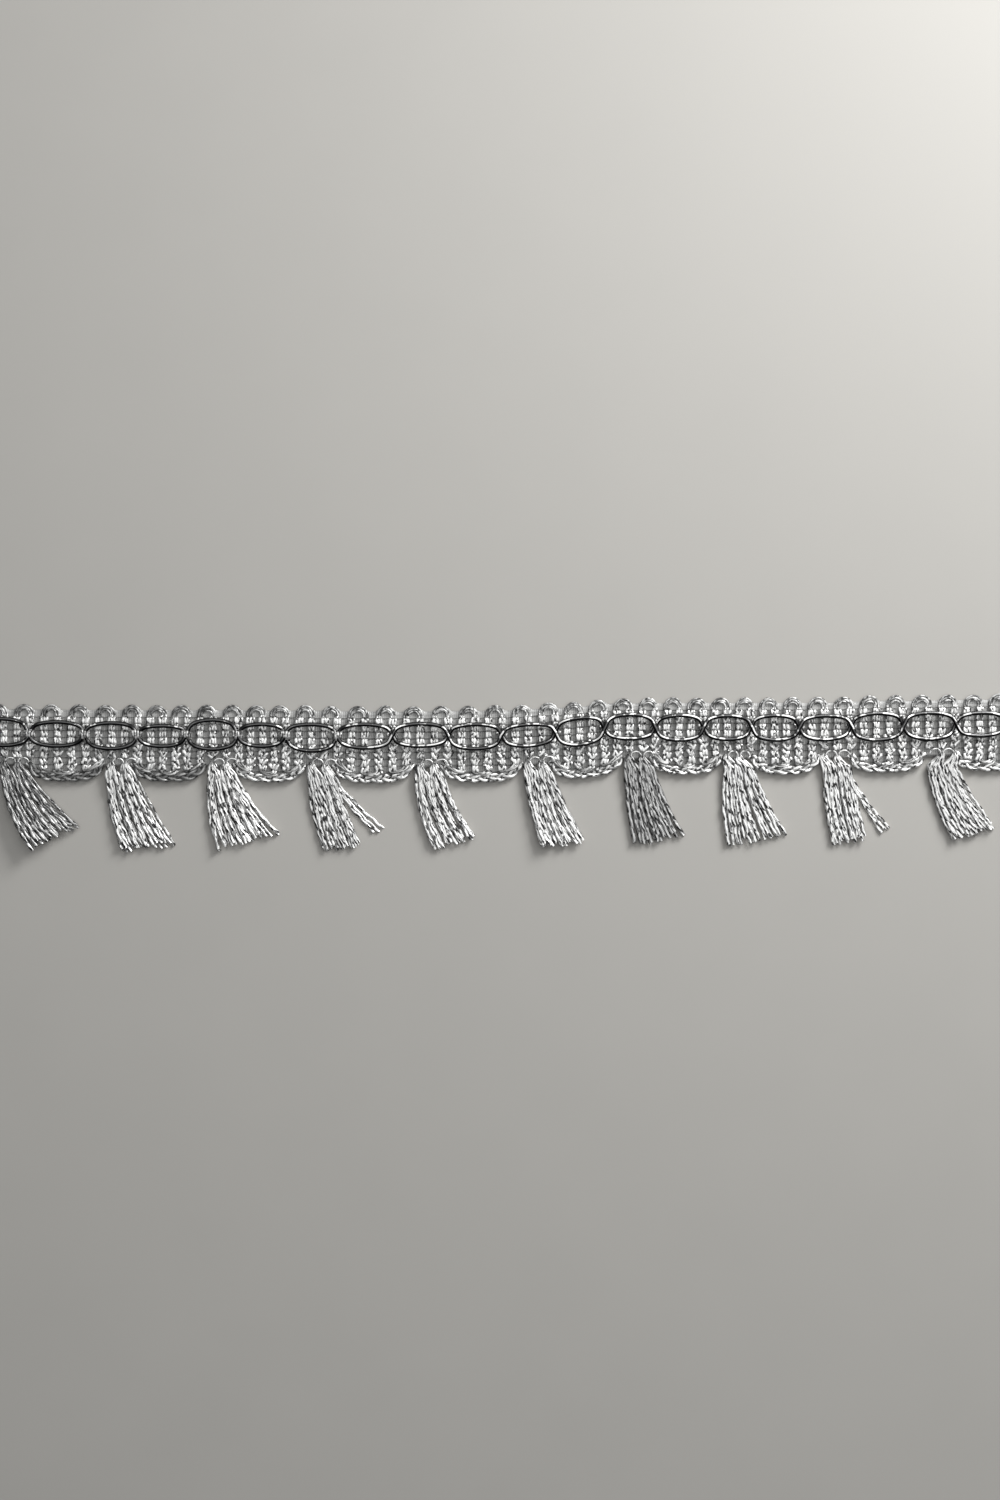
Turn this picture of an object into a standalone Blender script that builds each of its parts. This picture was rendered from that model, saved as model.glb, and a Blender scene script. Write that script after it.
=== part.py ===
"""A cut length of silver gimp braid trim: picots along the top, a chain of two bright
cords down the middle, scallops along the bottom and a cut tassel between each two scallops.

It lies flat on z = 0, X along the trim, +Y towards the picots, +Z up. Sizes in the
tables are millimetres, and MM turns them into metres.
"""

import math
import random
from collections import namedtuple

import bmesh
import bpy
from mathutils import Matrix, Vector

MM = 0.001

# From the tables' origin to the middle of the finished trim's box.
MIDDLE_X = -0.35
MIDDLE_Y = 0.352

# The line down the middle of the chain: the trim was laid down by hand, with a slight bend.
LayPoint = namedtuple("LayPoint", "x y")
LAY = (
    LayPoint(-96.0, 7.0),
    LayPoint(-66.0, 6.75),
    LayPoint(-42.0, 6.7),
    LayPoint(-17.0, 6.5),
    LayPoint(0.0, 6.65),
    LayPoint(10.0, 7.1),
    LayPoint(20.0, 7.85),
    LayPoint(33.0, 7.95),
    LayPoint(50.0, 7.95),
    LayPoint(67.0, 8.3),
    LayPoint(96.0, 8.75),
)

# A row for each link of the chain: where it starts, and how far its cords swing up and down.
Link = namedtuple("Link", "start rise drop")
LINKS = (
    Link(-95.7, 2.1, 2.1),
    Link(-87.0, 2.4, 2.0),
    Link(-78.3, 2.0, 2.0),
    Link(-69.1, 1.85, 2.4),
    Link(-60.3, 1.4, 2.0),
    Link(-52.1, 2.4, 2.45),
    Link(-43.6, 1.7, 1.95),
    Link(-35.7, 1.75, 2.65),
    Link(-27.1, 1.85, 2.05),
    Link(-17.9, 1.95, 1.75),
    Link(-8.6, 1.75, 2.3),
    Link(0.3, 1.5, 2.05),
    Link(9.2, 2.15, 2.3),
    Link(17.4, 2.15, 1.85),
    Link(25.8, 1.95, 2.15),
    Link(33.9, 1.85, 2.05),
    Link(41.8, 1.9, 2.15),
    Link(49.8, 1.8, 2.15),
    Link(58.4, 1.95, 2.45),
    Link(67.1, 1.95, 2.4),
    Link(75.8, 1.8, 2.0),
    Link(84.2, 1.75, 2.3),
    Link(92.7, 1.8, 2.2),
)

# The band: four crosswise ribs to a link, cut off between two ribs at each end.
RIBS_PER_LINK = 4
RIB_PITCH = 2.14
FIRST_CUT = 3.5
LAST_CUT = 85.5
CREST_HALF = 0.22
VALLEY_Z = 0.9
CREST_Z = 1.5
PINCHED_Z = 1.0
EDGE_Z = 0.45
RIB_TOP = 2.7
RIB_FOOT = -2.9

# The picots are loops of yarn that join ribs in pairs past the top edge.
TOP_EDGE = 3.75
PICOT_RISE = 1.2
PICOT_HALF = 1.45
PICOT_PHASE = 1.5
PICOT_EVERY = 2
PICOT_RIM = 0.45
PICOT_RIM_Z = 0.8
PICOT_RIM_LIFT = 0.35
PICOT_HOLLOW = 3.1
PICOT_HOLLOW_RISE = 0.75
PICOT_HOLLOW_Z = 0.55
PICOT_NECK_Z = 1.05
HOLLOW_ON_CREST = 0.3

# The bottom edge: a notch at each tassel, and a corded scallop between the tassels.
NOTCH_EDGE = -5.6
SCALLOP_DEPTH = 2.3
SCALLOP_AFTER_ROOT = 2.5
SCALLOP_BEFORE_ROOT = 3.4
BEAD_CREST = 0.6
BEAD_INNER = 1.25
BEAD_DIP = 0.25

# The chain cords wave up and down along the ribs. Cord a lies under cord b at every crossing.
CORD_RADIUS = 0.3
CORD_Z = 2.1
CROSSING_LIFT = 0.45
CROSSING_HALF = 1.7
CROSSING_TURN = 0.4
LINK_ARCH = 0.38
POINTS_PER_LINK = 9
CORD_SETBACK = 0.04

# A row for each tassel: where it leaves the band, its lean, the width and slope of its cut
# end, its length, and the stray locks at its right with the angle that the last one swings.
Tassel = namedtuple("Tassel", "root_x lean tip_width length cut_slope strays swing")
TASSELS = (
    Tassel(-80.8, 32.5, 8.5, 12.8, 27.0, 0, 0.0),
    Tassel(-63.3, 20.3, 9.0, 13.3, 6.0, 0, 0.0),
    Tassel(-46.3, 21.3, 10.8, 12.1, 16.0, 0, 0.0),
    Tassel(-29.7, 17.2, 6.9, 12.9, 8.0, 2, 24.0),
    Tassel(-11.7, 21.4, 7.7, 12.3, 15.0, 0, 0.0),
    Tassel(6.4, 19.8, 7.3, 12.9, 8.0, 0, 0.0),
    Tassel(23.2, 15.9, 8.6, 12.8, 13.0, 0, 0.0),
    Tassel(39.8, 14.5, 10.2, 12.8, 12.0, 0, 0.0),
    Tassel(56.2, 10.7, 6.5, 12.9, 7.0, 2, 22.0),
    Tassel(73.7, 25.4, 7.5, 12.8, 17.0, 0, 0.0),
)
TASSEL_PITCH = 17.1
HEAD_GAP = 0.3
HEAD_WIDTH = 4.4
HEAD_HEIGHT = 0.9
HEAD_THICKNESS = 1.25
HEAD_MARGIN = 0.1
LOCKS_ACROSS = 7
LOCK_WIDTH_ROOT = 0.42
LOCK_WIDTH_TIP = 0.8
LAYER_Z = ((0.0, 0.5), (0.65, 1.15))
LAYER_SPREAD = (1.0, 0.9)
STATIONS = (0.34, 0.68, 1.0)
STRAY_START = 0.15
ROOT_LEAN_SHARE = 0.55
LENGTH_SPREAD = 0.035
LOCK_SEED = 4


def clear_scene():
    for obj in list(bpy.data.objects):
        bpy.data.objects.remove(obj)


def finish(name, colour, roughness, metallic):
    """A metallised yarn's plain material."""
    material = bpy.data.materials.new(name)
    material.use_nodes = True
    shader = material.node_tree.nodes["Principled BSDF"]
    shader.inputs["Base Color"].default_value = (*colour, 1.0)
    shader.inputs["Roughness"].default_value = roughness
    shader.inputs["Metallic"].default_value = metallic
    return material


def lay_y(x):
    """Height of the chain's middle line at x, eased from one row of LAY to the next."""
    for near, far in zip(LAY, LAY[1:]):
        if x <= far.x:
            share = (x - near.x) / (far.x - near.x)
            ease = share * share * (3.0 - 2.0 * share)
            return near.y + (far.y - near.y) * ease
    return LAY[-1].y


def link_x(u):
    """x at u links along the chain."""
    index = min(int(u), len(LINKS) - 2)
    start, end = LINKS[index].start, LINKS[index + 1].start
    return start + (end - start) * (u - index)


def placed(x, y, z):
    """A point of the tables, in metres and in the finished part's frame."""
    return Vector(((x - MIDDLE_X) * MM, (y - MIDDLE_Y) * MM, z * MM))


def picot_bump(rib):
    """0 between picots and 1 at the middle of one, at a place counted in ribs."""
    half = PICOT_EVERY / 2
    away = abs((rib - PICOT_PHASE + half) % PICOT_EVERY - half) * RIB_PITCH
    return math.sqrt(max(0.0, 1.0 - (away / PICOT_HALF) ** 2))


def scallop_bump(x):
    """0 at a tassel and 1 along the flat foot of a scallop."""
    roots = [t.root_x for t in TASSELS]
    roots = [roots[0] - TASSEL_PITCH, *roots, roots[-1] + TASSEL_PITCH]
    for before, after in zip(roots, roots[1:]):
        start, end = before + SCALLOP_AFTER_ROOT, after - SCALLOP_BEFORE_ROOT
        if start < x < end:
            across = (2.0 * x - start - end) / (end - start)
            return math.sqrt(1.0 - abs(across) ** 3)
    return 0.0


def band_column(rib, on_crest):
    """The band's cross-section at one place: x, then (y, z) from the picots to the foot."""
    x = link_x(rib / RIBS_PER_LINK)
    middle = lay_y(x)
    full = CREST_Z if on_crest else VALLEY_Z
    at_crossing = on_crest and round(rib) % RIBS_PER_LINK == 0
    bump = picot_bump(rib)
    hollow = HOLLOW_ON_CREST * bump if on_crest else bump
    top = middle + TOP_EDGE + PICOT_RISE * bump
    scallop = scallop_bump(x)
    foot = middle + NOTCH_EDGE - SCALLOP_DEPTH * scallop
    rows = (
        (top, EDGE_Z),
        (top - PICOT_RIM, PICOT_RIM_Z + PICOT_RIM_LIFT * bump),
        (
            middle + PICOT_HOLLOW + PICOT_HOLLOW_RISE * bump,
            PICOT_NECK_Z + (PICOT_HOLLOW_Z - PICOT_NECK_Z) * hollow,
        ),
        (middle + RIB_TOP, full),
        (middle, PINCHED_Z if at_crossing else full),
        (middle + RIB_FOOT, full),
        (foot + BEAD_INNER, (full + VALLEY_Z) / 2),
        (foot + BEAD_CREST, CREST_Z - BEAD_DIP * (1.0 - scallop)),
        (foot, EDGE_Z),
    )
    return x, rows


def band_columns():
    """Three columns to a rib: both sides of its flat crest, then the valley after it."""
    columns = [band_column(FIRST_CUT, False)]
    for rib in range(math.ceil(FIRST_CUT), math.ceil(LAST_CUT)):
        columns.append(band_column(rib - CREST_HALF, True))
        columns.append(band_column(rib + CREST_HALF, True))
        columns.append(band_column(rib + 0.5, False))
    return columns


def make_band(material):
    """The ribbed band, one closed solid with a flat underside."""
    mesh = bmesh.new()
    columns = []
    for x, rows in band_columns():
        upper = [mesh.verts.new(placed(x, y, z)) for y, z in rows]
        lower = [mesh.verts.new(placed(x, y, 0.0)) for y in (rows[0][0], rows[-1][0])]
        columns.append((upper, lower))
    for (upper, lower), (next_upper, next_lower) in zip(columns, columns[1:]):
        for row in range(len(upper) - 1):
            corners = (upper[row], upper[row + 1], next_upper[row + 1], next_upper[row])
            mesh.faces.new(corners)
        mesh.faces.new((lower[0], upper[0], next_upper[0], next_lower[0]))
        mesh.faces.new((upper[-1], lower[1], next_lower[1], next_upper[-1]))
        mesh.faces.new((lower[1], lower[0], next_lower[0], next_lower[1]))
    for upper, lower in (columns[0], columns[-1]):
        mesh.faces.new((*upper, lower[1], lower[0]))
    bmesh.ops.recalc_face_normals(mesh, faces=mesh.faces)
    return add_object("braid_band", mesh, material)


def cord_places():
    """The places along the chain, counted in links, that a cord has points at."""
    first = FIRST_CUT / RIBS_PER_LINK + CORD_SETBACK
    last = LAST_CUT / RIBS_PER_LINK - CORD_SETBACK
    places = [first]
    for index in range(len(LINKS) - 1):
        for step in range(POINTS_PER_LINK):
            share = (1.0 - math.cos(math.pi * step / POINTS_PER_LINK)) / 2
            if first < index + share < last:
                places.append(index + share)
    places.append(last)
    return places


def cord_points(side):
    """A chain cord's line. side is 1 for cord a, which is high in the even links."""
    points = []
    for u in cord_places():
        index = int(u)
        high = side if index % 2 == 0 else -side
        swing = LINKS[index].rise if high > 0 else -LINKS[index].drop
        share = u - index
        x = link_x(u)
        away = abs(x - link_x(round(u)))
        arch = (4.0 * share * (1.0 - share)) ** LINK_ARCH
        y = lay_y(x) + swing * arch * math.tanh(away / CROSSING_TURN)
        ease = math.cos(min(1.0, away / CROSSING_HALF) * math.pi / 2) ** 2
        points.append(placed(x, y, CORD_Z - side * CROSSING_LIFT * ease))
    return points


def make_cord(name, side, material):
    """A bright gimp cord, laid along the whole trim."""
    curve = bpy.data.curves.new(name, "CURVE")
    curve.dimensions = "3D"
    curve.bevel_depth = CORD_RADIUS * MM
    curve.bevel_resolution = 1
    curve.use_fill_caps = True
    points = cord_points(side)
    spline = curve.splines.new("POLY")
    spline.points.add(len(points) - 1)
    for target, point in zip(spline.points, points):
        target.co = (*point, 1.0)
    curve.materials.append(material)
    obj = bpy.data.objects.new(name, curve)
    bpy.context.scene.collection.objects.link(obj)
    return obj


def head_cells():
    """The x edges of the lock cells across a tassel's head, from its middle."""
    pitch = (HEAD_WIDTH - 2 * HEAD_MARGIN - LOCK_WIDTH_ROOT) / (LOCKS_ACROSS - 1)
    cells = []
    for lock in range(LOCKS_ACROSS):
        centre = (lock - (LOCKS_ACROSS - 1) / 2) * pitch
        cells.append((centre - LOCK_WIDTH_ROOT / 2, centre + LOCK_WIDTH_ROOT / 2))
    return cells


def across(tassel, q):
    """Direction across a tassel, q of the way from its head (0) to its cut end (1)."""
    turn = math.radians(tassel.cut_slope) * q
    return Vector((math.cos(turn), math.sin(turn)))


def tassel_middle(tassel, q):
    """A tassel's middle line, which leans further towards its cut end."""
    root = Vector((tassel.root_x, lay_y(tassel.root_x) + NOTCH_EDGE - HEAD_GAP - HEAD_HEIGHT))
    late = math.radians(tassel.lean)
    early = late * ROOT_LEAN_SHARE
    bend = root + Vector((math.sin(early), -math.cos(early))) * tassel.length / 2
    tip = root + Vector((math.sin(late), -math.cos(late))) * tassel.length
    return root * (1 - q) ** 2 + bend * 2 * q * (1 - q) + tip * q * q


def lock_middle(tassel, lock, layer, q):
    """A lock's middle line, fanned out from its cell in the head."""
    root_offset = sum(head_cells()[lock]) / 2
    place = lock / (LOCKS_ACROSS - 1) * 2.0 - 1.0
    tip_offset = place * (tassel.tip_width - LOCK_WIDTH_TIP) / 2 * LAYER_SPREAD[layer]
    offset = root_offset + (tip_offset - root_offset) * q
    return tassel_middle(tassel, q) + across(tassel, q) * offset


def lock_sections(tassel, lock, layer, length):
    """Left and right edge of a lock at each station past the head, with its low and high z."""
    stray = max(0, lock - (LOCKS_ACROSS - 1 - tassel.strays))
    swing = math.radians(tassel.swing) * stray / max(tassel.strays, 1)
    parting = lock_middle(tassel, lock, layer, STRAY_START)
    sections = []
    for station in STATIONS:
        q = station * length
        straight = lock_middle(tassel, lock, layer, q)
        centre = parting + Matrix.Rotation(swing, 2) @ (straight - parting)
        half = (LOCK_WIDTH_ROOT + (LOCK_WIDTH_TIP - LOCK_WIDTH_ROOT) * q) / 2
        side = across(tassel, q) * half
        sections.append((centre - side, centre + side, *LAYER_Z[layer]))
    return sections


def make_tassel(name, tassel, rng, material):
    """A tassel: two layers of yarn locks that leave one block where they are bunched."""
    top = lay_y(tassel.root_x) + NOTCH_EDGE - HEAD_GAP
    half = HEAD_WIDTH / 2
    xs = [-half, *(edge for cell in head_cells() for edge in cell), half]
    zs = [*LAYER_Z[0], *LAYER_Z[1], HEAD_THICKNESS]
    mesh = bmesh.new()
    grid = [
        [mesh.verts.new(placed(tassel.root_x + x, top - HEAD_HEIGHT, z)) for z in zs]
        for x in xs
    ]
    cell_faces = {}
    for i in range(len(xs) - 1):
        for j in range(len(zs) - 1):
            corners = (grid[i][j], grid[i + 1][j], grid[i + 1][j + 1], grid[i][j + 1])
            cell_faces[i, j] = mesh.faces.new(corners)
    front = list(cell_faces.values())
    backed = bmesh.ops.extrude_face_region(mesh, geom=front, use_keep_orig=True)
    behind = [v for v in backed["geom"] if isinstance(v, bmesh.types.BMVert)]
    bmesh.ops.translate(mesh, verts=behind, vec=Vector((0.0, HEAD_HEIGHT * MM, 0.0)))
    for lock in range(LOCKS_ACROSS):
        for layer in range(len(LAYER_Z)):
            loose = lock >= LOCKS_ACROSS - tassel.strays
            if layer and loose:
                continue
            length = 1.0 - LENGTH_SPREAD * rng.random()
            sections = lock_sections(tassel, lock, layer, length)
            extrude_lock(mesh, cell_faces[2 * lock + 1, 2 * layer], sections)
    bmesh.ops.recalc_face_normals(mesh, faces=mesh.faces)
    return add_object(name, mesh, material)


def extrude_lock(mesh, face, sections):
    """Draws a lock out of its cell in the head's face, whose corners run clockwise."""
    for left, right, low, high in sections:
        face = bmesh.ops.extrude_discrete_faces(mesh, faces=[face])["faces"][0]
        corners = ((left, low), (left, high), (right, high), (right, low))
        for vert, (at, z) in zip(face.verts, corners):
            vert.co = placed(at.x, at.y, z)


def add_object(name, mesh, material):
    data = bpy.data.meshes.new(name)
    mesh.to_mesh(data)
    mesh.free()
    data.materials.append(material)
    obj = bpy.data.objects.new(name, data)
    bpy.context.scene.collection.objects.link(obj)
    return obj


def main():
    clear_scene()
    gimp = finish("silver_gimp_yarn", (0.62, 0.62, 0.6), 0.38, 0.85)
    bright = finish("bright_cord", (0.42, 0.42, 0.43), 0.18, 1.0)
    fringe = finish("silver_tassel_yarn", (0.72, 0.72, 0.7), 0.32, 0.85)
    make_band(gimp)
    make_cord("chain_cord_a", 1, bright)
    make_cord("chain_cord_b", -1, bright)
    rng = random.Random(LOCK_SEED)
    for number, tassel in enumerate(TASSELS, start=1):
        make_tassel(f"tassel_{number:02d}", tassel, rng, fringe)


main()
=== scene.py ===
"""The looks of a silver gimp braid trim with a picot edge, a corded chain and cut tassels.

The trim lies flat. Sizes in the tables are millimetres in the trim's own layout, and placed()
turns them into the frame's metres.
"""

import math
import random
from collections import namedtuple

import bpy
from mathutils import Matrix, Vector


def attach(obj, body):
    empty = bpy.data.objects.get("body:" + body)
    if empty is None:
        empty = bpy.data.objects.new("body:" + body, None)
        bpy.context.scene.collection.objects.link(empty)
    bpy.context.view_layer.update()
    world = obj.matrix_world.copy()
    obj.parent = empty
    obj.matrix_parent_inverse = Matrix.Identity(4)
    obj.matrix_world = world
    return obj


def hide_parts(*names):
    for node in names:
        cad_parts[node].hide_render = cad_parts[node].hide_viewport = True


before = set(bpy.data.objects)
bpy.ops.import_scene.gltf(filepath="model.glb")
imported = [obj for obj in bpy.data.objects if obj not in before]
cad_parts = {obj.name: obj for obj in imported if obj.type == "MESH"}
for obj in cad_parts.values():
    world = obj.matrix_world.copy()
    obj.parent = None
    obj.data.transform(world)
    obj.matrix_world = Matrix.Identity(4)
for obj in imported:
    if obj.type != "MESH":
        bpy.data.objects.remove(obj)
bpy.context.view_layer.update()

# How the trim lies: laid down by hand on a table with a slight bend, so its links, ribs and
# tassels are all a little uneven. Every piece below takes its place from these tables.

MM = 0.001
MIDDLE_X = -0.35
MIDDLE_Y = 0.352

LayPoint = namedtuple("LayPoint", "x y")
LAY = (
    LayPoint(-96.0, 7.0),
    LayPoint(-66.0, 6.75),
    LayPoint(-42.0, 6.7),
    LayPoint(-17.0, 6.5),
    LayPoint(0.0, 6.65),
    LayPoint(10.0, 7.1),
    LayPoint(20.0, 7.85),
    LayPoint(33.0, 7.95),
    LayPoint(50.0, 7.95),
    LayPoint(67.0, 8.3),
    LayPoint(96.0, 8.75),
)

Link = namedtuple("Link", "start rise drop")
LINKS = (
    Link(-95.7, 2.1, 2.1),
    Link(-87.0, 2.4, 2.0),
    Link(-78.3, 2.0, 2.0),
    Link(-69.1, 1.85, 2.4),
    Link(-60.3, 1.4, 2.0),
    Link(-52.1, 2.4, 2.45),
    Link(-43.6, 1.7, 1.95),
    Link(-35.7, 1.75, 2.65),
    Link(-27.1, 1.85, 2.05),
    Link(-17.9, 1.95, 1.75),
    Link(-8.6, 1.75, 2.3),
    Link(0.3, 1.5, 2.05),
    Link(9.2, 2.15, 2.3),
    Link(17.4, 2.15, 1.85),
    Link(25.8, 1.95, 2.15),
    Link(33.9, 1.85, 2.05),
    Link(41.8, 1.9, 2.15),
    Link(49.8, 1.8, 2.15),
    Link(58.4, 1.95, 2.45),
    Link(67.1, 1.95, 2.4),
    Link(75.8, 1.8, 2.0),
    Link(84.2, 1.75, 2.3),
    Link(92.7, 1.8, 2.2),
)
RIBS_PER_LINK = 4
RIB_PITCH = 2.14
FIRST_CUT = 3.5
LAST_CUT = 85.5

# The last column scales each tassel's yarn colour: painted light and shade for how much light that
# tassel catches.
Tassel = namedtuple("Tassel", "root_x lean tip_width length cut_slope strays swing lift tone")
TASSELS = (
    Tassel(-80.8, 32.5, 8.5, 12.8, 27.0, 0, 0.0, 1.9, 0.34),
    Tassel(-63.3, 20.3, 9.0, 13.3, 6.0, 0, 0.0, 0.2, 0.98),
    Tassel(-46.3, 21.3, 10.8, 12.1, 16.0, 0, 0.0, 0.2, 1.15),
    Tassel(-29.7, 17.2, 6.9, 12.9, 8.0, 3, 24.0, 0.0, 0.9),
    Tassel(-11.7, 21.4, 7.7, 12.3, 15.0, 0, 0.0, 0.0, 1.12),
    Tassel(6.4, 19.8, 7.3, 12.9, 8.0, 0, 0.0, 0.8, 0.97),
    Tassel(23.2, 15.9, 8.6, 12.8, 13.0, 0, 0.0, 0.0, 0.58),
    Tassel(39.8, 14.5, 10.2, 12.8, 12.0, 0, 0.0, 0.0, 1.2),
    Tassel(56.2, 10.7, 6.5, 12.9, 7.0, 3, 22.0, 0.0, 1.3),
    Tassel(73.7, 25.4, 7.5, 12.8, 17.0, 0, 0.0, 0.3, 0.95),
)
TASSEL_PITCH = 17.1
NOTCH_EDGE = -5.6
SCALLOP_DEPTH = 2.3
SCALLOP_SQUARE = 3
SCALLOP_AFTER_ROOT = 2.5
SCALLOP_BEFORE_ROOT = 3.4


def placed(x, y, z):
    """A point of the layout, in the frame's metres."""
    return ((x - MIDDLE_X) * MM, (y - MIDDLE_Y) * MM, z * MM)


def lay_y(x):
    """y of the chain's middle line at x, eased from one row of LAY to the next."""
    for near, far in zip(LAY, LAY[1:]):
        if x <= far.x:
            share = (x - near.x) / (far.x - near.x)
            ease = share * share * (3.0 - 2.0 * share)
            return near.y + (far.y - near.y) * ease
    return LAY[-1].y


def link_x(u):
    """x at u links along the chain."""
    index = min(int(u), len(LINKS) - 2)
    start, end = LINKS[index].start, LINKS[index + 1].start
    return start + (end - start) * (u - index)


def rib_x(rib):
    return link_x(rib / RIBS_PER_LINK)


def scallops():
    """Where each scallop starts and ends, from left to right."""
    roots = [tassel.root_x for tassel in TASSELS]
    roots = [roots[0] - TASSEL_PITCH, *roots, roots[-1] + TASSEL_PITCH]
    return [
        (before + SCALLOP_AFTER_ROOT, after - SCALLOP_BEFORE_ROOT)
        for before, after in zip(roots, roots[1:])
    ]


def scallop_bump(x):
    """0 at a tassel and 1 along the flat foot of a scallop."""
    for start, end in scallops():
        if start < x < end:
            across = (2.0 * x - start - end) / (end - start)
            return math.sqrt(1.0 - abs(across) ** SCALLOP_SQUARE)
    return 0.0


# Silver gimp yarn: a polyester core wrapped in metallised foil, two plies twisted together.
# Geometry nodes spin it along any path, and its finish follows its own length and turn.

ROLL_LENGTH = 2.6
SWAY_SCALE = 420.0
SWAY_APART = 7.3
PLY_SLANT = 2.4
PLY_APART = 40.0
FOIL_METALLIC = 0.52
FOIL_LIGHT = (0.97, 0.97, 0.955, 1.0)
SHINE_FROM = -0.5
SHINE_FULL = -0.1
DULLEST_YARN = 0.85
CREASE_ACROSS = 0.7
CREASE_APART = 60.0
CRINKLE_SCALE = 2600.0
CRINKLE_DEPTH = 0.00006
ROUGH_LEAST = 0.6
ROUGH_MOST = 1.5


class Value:
    """An output of a node, which sums and products carry on with Math nodes."""

    def __init__(self, net, socket):
        self.net = net
        self.socket = socket

    def other(self, name):
        """Another output of the same node."""
        return Value(self.net, self.socket.node.outputs[name])

    def __add__(self, value):
        return self.net.maths("ADD", self, value)

    def __sub__(self, value):
        return self.net.maths("SUBTRACT", self, value)

    def __rsub__(self, value):
        return self.net.maths("SUBTRACT", value, self)

    def __mul__(self, value):
        return self.net.maths("MULTIPLY", self, value)

    def __truediv__(self, value):
        return self.net.maths("DIVIDE", self, value)


class Net:
    """A node tree that is written down as expressions."""

    def __init__(self, tree):
        self.tree = tree

    def add(self, kind, settings=None, sockets=None, out=0):
        """One output of a new node. Its settings are made first, then its sockets are fed."""
        node = self.tree.nodes.new(kind)
        for name, value in (settings or {}).items():
            setattr(node, name, value)
        for name, value in (sockets or {}).items():
            if isinstance(value, Value):
                self.tree.links.new(value.socket, node.inputs[name])
            else:
                node.inputs[name].default_value = value
        return Value(self, node.outputs[out]) if len(node.outputs) else None

    def maths(self, operation, *values):
        return self.add("ShaderNodeMath", {"operation": operation}, dict(enumerate(values)))

    def vectors(self, operation, *values):
        settings = {"operation": operation}
        return self.add("ShaderNodeVectorMath", settings, dict(enumerate(values)))

    def attribute(self, name, out="Fac"):
        return self.add("ShaderNodeAttribute", {"attribute_name": name}, out=out)

    def blend(self, factor, low, high):
        """A colour between two others."""
        sockets = {0: factor, 6: low, 7: high}
        return self.add("ShaderNodeMix", {"data_type": "RGBA"}, sockets, out=2)

    def between(self, value, low, high, start=0.0, stop=1.0):
        """low where value is start and high where it is stop, eased, and no further."""
        settings = {"interpolation_type": "SMOOTHSTEP"}
        sockets = {"Value": value, "From Min": start, "From Max": stop, "To Min": low, "To Max": high}
        return self.add("ShaderNodeMapRange", settings, sockets)


def new_finish(name, metallic):
    """A named material, its net and its shader's sockets."""
    material = bpy.data.materials.new(name)
    material.use_nodes = True
    material.node_tree.nodes.clear()
    net = Net(material.node_tree)
    shader = net.add("ShaderNodeBsdfPrincipled", {}, {"Metallic": metallic})
    net.add("ShaderNodeOutputMaterial", {}, {"Surface": shader})
    return material, net, shader.socket.node.inputs


def link(net, value, socket):
    net.tree.links.new(value.socket, socket)


def foil_yarn(name, dark, rough, dash, twist, crease, fleck):
    """Two foil plies twisted together and creased all over, their highlights and shade painted into
    the colour.

    twist is how much the plies show as slanting dashes, and crease how much the creases do,
    which are fleck metres long.
    """
    material, net, sockets = new_finish(name, FOIL_METALLIC)
    turn = net.add("ShaderNodeSeparateXYZ", {}, {0: net.attribute("turn", "Vector")})
    coords = net.add("ShaderNodeTexCoord", out="Object")
    along, yarn = net.attribute("along"), net.attribute("yarn")
    unrolled = {0: turn * CREASE_ACROSS, 1: along / fleck, 2: yarn * CREASE_APART}
    foil = net.add("ShaderNodeCombineXYZ", {}, unrolled)
    creases = net.add("ShaderNodeTexNoise", {}, {"Vector": foil, "Scale": 1.0, "Detail": 2.0})
    # Painted light: slanting dashes of painted highlight on the plies' crowns, painted shade in the
    # grooves between them, and painted light and dark flecks where the foil is creased; bright scales
    # the painted shine per point.
    phase = along * (2.0 * math.pi / dash) + yarn * PLY_APART
    ply = net.maths("SINE", phase + turn * PLY_SLANT) * twist + (creases - 0.5) * crease
    shine = net.between(ply, 0.0, 1.0, start=SHINE_FROM, stop=SHINE_FULL)
    shine = shine * net.attribute("bright") * net.between(yarn, DULLEST_YARN, 1.0)
    link(net, net.blend(shine, dark, FOIL_LIGHT), sockets["Base Color"])
    grades = rough * ROUGH_LEAST, rough * ROUGH_MOST
    link(net, net.between(creases, *grades), sockets["Roughness"])
    crinkle = net.add("ShaderNodeTexNoise", {}, {"Vector": coords, "Scale": CRINKLE_SCALE})
    relief = {"Height": crinkle, "Strength": 0.35, "Distance": CRINKLE_DEPTH}
    link(net, net.add("ShaderNodeBump", {}, relief), sockets["Normal"])
    return material


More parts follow.
